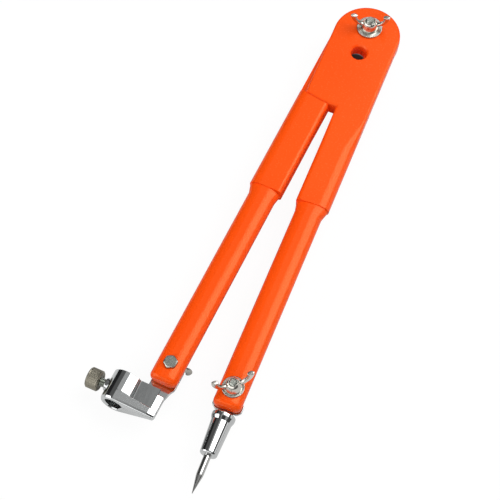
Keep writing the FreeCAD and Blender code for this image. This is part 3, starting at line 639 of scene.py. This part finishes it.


def studio_floor():
    """A pale floor: white to the eye, pale in reflections where it lies open, else plain paint.

    It has painted shade: near black to the eye where it only shows through the hanging hole, dark
    in reflections where it lies between the legs, and darker in reflections near things.
    """
    made, tree, out = blank("pale_floor")
    path = add(tree, "ShaderNodeLightPath").outputs
    seen = add(tree, "ShaderNodeMath", {0: path["Is Camera Ray"], 1: path["Is Glossy Ray"]},
               operation="MAXIMUM")
    seen = add(tree, "ShaderNodeMath", {0: seen.outputs[0], 1: path["Is Transmission Ray"]},
               operation="MAXIMUM")
    where = add(tree, "ShaderNodeTexCoord").outputs["Object"]
    # Painted shadow: to the eye the floor fades to near black close to the point under the hanging
    # hole.
    shadow_spot = (PIVOT[0] + SHADOW_SPOT[0] * MM, PIVOT[1] + SHADOW_SPOT[1] * MM, 0)
    away = add(tree, "ShaderNodeVectorMath", {0: where, 1: shadow_spot}, operation="DISTANCE")
    to_eye_with_shadow_spot = add(tree, "ShaderNodeMapRange", {
        "Value": away.outputs["Value"], "From Min": SHADOW_SPOT_R[0] * MM, "From Max": SHADOW_SPOT_R[1] * MM})
    # Painted shade: in reflections the floor is dark in a strip between the legs, down to where the
    # strip ends.
    split = add(tree, "ShaderNodeSeparateXYZ", {0: where}).outputs
    beside = add(tree, "ShaderNodeMath", {0: split["X"], 1: PIVOT[0]}, operation="SUBTRACT")
    beside = add(tree, "ShaderNodeMath", {0: beside.outputs[0]}, operation="ABSOLUTE")
    beside = add(tree, "ShaderNodeMapRange", {
        "Value": beside.outputs[0], "From Min": SHADE_STRIP[0] * MM, "From Max": SHADE_STRIP[1] * MM})
    below = add(tree, "ShaderNodeMapRange", {
        "Value": split["Y"], "From Min": PIVOT[1] + SHADE_STRIP_END[1] * MM,
        "From Max": PIVOT[1] + SHADE_STRIP_END[0] * MM})
    clear = add(tree, "ShaderNodeMath", {0: beside.outputs["Result"], 1: below.outputs["Result"]},
                operation="MAXIMUM")
    # Painted contact shade: the floor's reflection darkens where nearby parts occlude it.
    reach = add(tree, "ShaderNodeAmbientOcclusion", {"Distance": CONTACT_SHADE_REACH * MM},
                samples=12).outputs["AO"]
    mirrored_with_contact_shade = add(tree, "ShaderNodeMapRange", {
        "Value": reach, "From Min": CONTACT_SHADE_OPEN[0], "From Max": CONTACT_SHADE_OPEN[1], "To Max": FLOOR_MIRRORED})
    mirrored_with_contact_shade = add(tree, "ShaderNodeMath", {0: mirrored_with_contact_shade.outputs["Result"], 1: clear.outputs[0]},
                   operation="MULTIPLY")
    strength = add(tree, "ShaderNodeMix", {0: path["Is Camera Ray"], 2: mirrored_with_contact_shade.outputs[0],
                                           3: to_eye_with_shadow_spot.outputs["Result"]})
    glow = add(tree, "ShaderNodeEmission", {
        "Color": (FLOOR_WHITE, FLOOR_WHITE, FLOOR_WHITE, 1), "Strength": strength.outputs[0]})
    faint = add(tree, "ShaderNodeBsdfDiffuse", {
        "Color": (FLOOR_SHADE, FLOOR_SHADE, FLOOR_SHADE, 1)})
    both = add(tree, "ShaderNodeAddShader", {0: glow.outputs[0], 1: faint.outputs[0]})
    paint = add(tree, "ShaderNodeBsdfDiffuse", {"Color": linear("#C8C8C8")})
    mix = add(tree, "ShaderNodeMixShader", {
        0: seen.outputs[0], 1: paint.outputs[0], 2: both.outputs[0]})
    tree.links.new(mix.outputs[0], out.inputs["Surface"])
    return made


def light_tent():
    """A dim tent around the set, pale overhead.

    It is dark near the floor, on the left and around the camera.
    """
    made, tree, out = blank("light_tent")
    where = add(tree, "ShaderNodeTexCoord").outputs["Object"]
    split = add(tree, "ShaderNodeSeparateXYZ", {0: where})
    height = add(tree, "ShaderNodeMapRange", {
        "Value": split.outputs["Z"], "From Min": TENT_HORIZON[0], "From Max": TENT_HORIZON[1],
        "To Min": TENT_LIGHT[0], "To Max": TENT_LIGHT[1]})
    side = add(tree, "ShaderNodeMapRange", {
        "Value": split.outputs["X"], "From Min": TENT_LEFT[0], "From Max": TENT_LEFT[1],
        "To Min": LEFT_SHARE, "To Max": 1.0})
    height = add(tree, "ShaderNodeMath", {0: height.outputs["Result"], 1: side.outputs["Result"]},
                 operation="MULTIPLY")
    ahead = add(tree, "ShaderNodeVectorMath", {0: where, 1: tuple(back / TENT_R)},
                operation="DOT_PRODUCT")
    dark = add(tree, "ShaderNodeMapRange", {
        "Value": ahead.outputs["Value"], "From Min": EYE_CONE[0], "From Max": EYE_CONE[1],
        "To Min": 1.0, "To Max": EYE_SHARE})
    light = add(tree, "ShaderNodeMath", {0: height.outputs[0], 1: dark.outputs["Result"]},
                operation="MULTIPLY")
    glow = add(tree, "ShaderNodeEmission", {"Color": (1, 1, 1, 1), "Strength": light.outputs[0]})
    tree.links.new(glow.outputs[0], out.inputs["Surface"])
    return made


def stage_mesh(name, points, faces, material):
    """A mesh of the studio."""
    mesh = bpy.data.meshes.new(name)
    mesh.from_pydata(points, [], faces)
    mesh.materials.append(material)
    made = bpy.data.objects.new(name, mesh)
    bpy.context.scene.collection.objects.link(made)
    return made


stage_mesh("floor", [(-8, -8, 0), (8, -8, 0), (8, 8, 0), (-8, 8, 0)], [(0, 1, 2, 3)], studio_floor())
tent_angle = np.linspace(0, math.pi / 2, 17)
tent_points = turned(TENT_R * np.stack([np.cos(tent_angle), np.sin(tent_angle)], axis=-1), 48)
tent_index = np.arange(tent_points.shape[0] * tent_points.shape[1]).reshape(tent_points.shape[:2])
tent_quads = np.stack([tent_index[:-1], np.roll(tent_index[:-1], -1, axis=1),
                       np.roll(tent_index[1:], -1, axis=1), tent_index[1:]], axis=-1)
tent = stage_mesh("tent", tent_points.reshape(-1, 3).tolist(), tent_quads.reshape(-1, 4).tolist(),
                  light_tent())
tent.visible_camera = False

world = bpy.data.worlds.new("white_surround")
bpy.context.scene.world = world
world.use_nodes = True
world.node_tree.nodes["Background"].inputs["Color"].default_value = (1, 1, 1, 1)
world.node_tree.nodes["Background"].inputs["Strength"].default_value = 1.0


def softbox(name, direction, distance, width, height, radiance):
    """A rectangular lamp that faces the set; its power makes its face glow at radiance."""
    data = bpy.data.lights.new(name, "AREA")
    data.shape = "RECTANGLE"
    data.size, data.size_y = width, height
    data.energy = radiance * math.pi * width * height
    made = bpy.data.objects.new(name, data)
    bpy.context.scene.collection.objects.link(made)
    away = np.array(direction, float)
    away /= np.linalg.norm(away)
    across = np.cross((0, 1, 0), away)
    across /= np.linalg.norm(across)
    turn = np.eye(4)
    turn[:3, :3] = np.stack([across, np.cross(away, across), away], axis=1)
    turn[:3, 3] = away * distance
    made.matrix_world = Matrix(turn.tolist())
    return made


softbox("key_right", (0.40, 0.43, 0.82), 1.25, 1.15, 0.95, 3.6)
softbox("fill_front", (-0.1, -0.85, 0.5), 1.3, 2.2, 0.7, 1.5)
softbox("fill_left", (-0.75, -0.5, 0.45), 1.3, 1.0, 0.9, 2.3)
softbox("edge_right", (0.87, 0.43, 0.17), 1.3, 0.35, 1.0, 0.9)

# ---- Camera ----------------------------------------------------------------------------------
camera_data = bpy.data.cameras.new("camera")
camera_data.lens, camera_data.sensor_width = LENS, 36.0
camera = bpy.data.objects.new("camera", camera_data)
bpy.context.scene.collection.objects.link(camera)
pose = np.eye(4)
pose[:3, :3] = np.stack([right, top, back], axis=1)
pose[:3, 3] = target + CAMERA_DISTANCE * back
camera.matrix_world = Matrix(pose.tolist())
bpy.context.scene.camera = camera
bpy.context.scene.view_settings.view_transform = "Standard"

bpy.context.view_layer.update()
